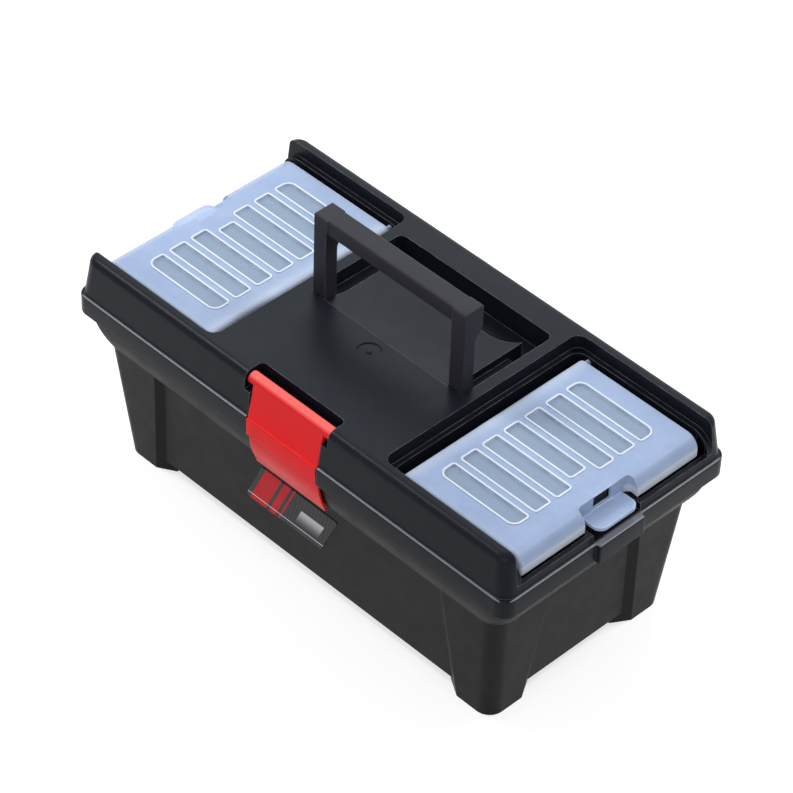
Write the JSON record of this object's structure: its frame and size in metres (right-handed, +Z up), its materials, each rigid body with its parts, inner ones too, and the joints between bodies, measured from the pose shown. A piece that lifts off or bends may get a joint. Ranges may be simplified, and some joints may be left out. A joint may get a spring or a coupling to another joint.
{
  "type": "tool box",
  "caption": "Small plastic tool box with a hinged lid, folding carry handle, front swing latch and translucent flip-up organiser covers in the lid.",
  "frame": {"origin": "on the ground, under the middle of the whole box", "axes": "+X along the box, +Y to the hinged back, +Z up"},
  "size_m": [0.3172, 0.1624, 0.18],
  "materials": {
    "tub_plastic": "black moulded plastic with a fine grain",
    "lid_plastic": "black moulded plastic with a satin grain",
    "handle_plastic": "charcoal moulded plastic",
    "latch_plastic": "smooth red plastic",
    "cover_plastic": "frosted translucent plastic",
    "label_film": "thin printed film with a plain pattern",
    "pin_steel": "plain wire pin"
  },
  "bodies": {
    "base": {"base_tub": "tub_plastic", "front_label": "label_film", "hinge_pin_left": "pin_steel", "hinge_pin_right": "pin_steel"},
    "lid": {"lid_shell": "lid_plastic"},
    "handle": {"carry_handle": "handle_plastic"},
    "latch": {"front_latch": "latch_plastic"},
    "cover_left": {"organiser_cover_left": "cover_plastic"},
    "cover_right": {"organiser_cover_right": "cover_plastic"}
  },
  "joints": [
    {"name": "lid_hinge", "type": "hinge", "parent": "base", "child": "lid", "pos_m": [0, 0.07795, 0.099], "axis": [-1, 0, 0], "range_deg": [0, 105]},
    {"name": "handle_fold", "type": "hinge", "parent": "lid", "child": "handle", "pos_m": [0, -0.00275, 0.1235], "axis": [-1, 0, 0], "range_deg": [0, 90]},
    {"name": "latch_swing", "type": "hinge", "parent": "lid", "child": "latch", "pos_m": [0, -0.07255, 0.125], "axis": [-1, 0, 0], "range_deg": [0, 100]},
    {"name": "cover_left_flip", "type": "hinge", "parent": "lid", "child": "cover_left", "pos_m": [-0.0717, -0.00205, 0.1188], "axis": [0, 1, 0], "range_deg": [0, 100]},
    {"name": "cover_right_flip", "type": "hinge", "parent": "lid", "child": "cover_right", "pos_m": [0.0717, -0.00205, 0.1188], "axis": [0, -1, 0], "range_deg": [0, 100]}
  ]
}
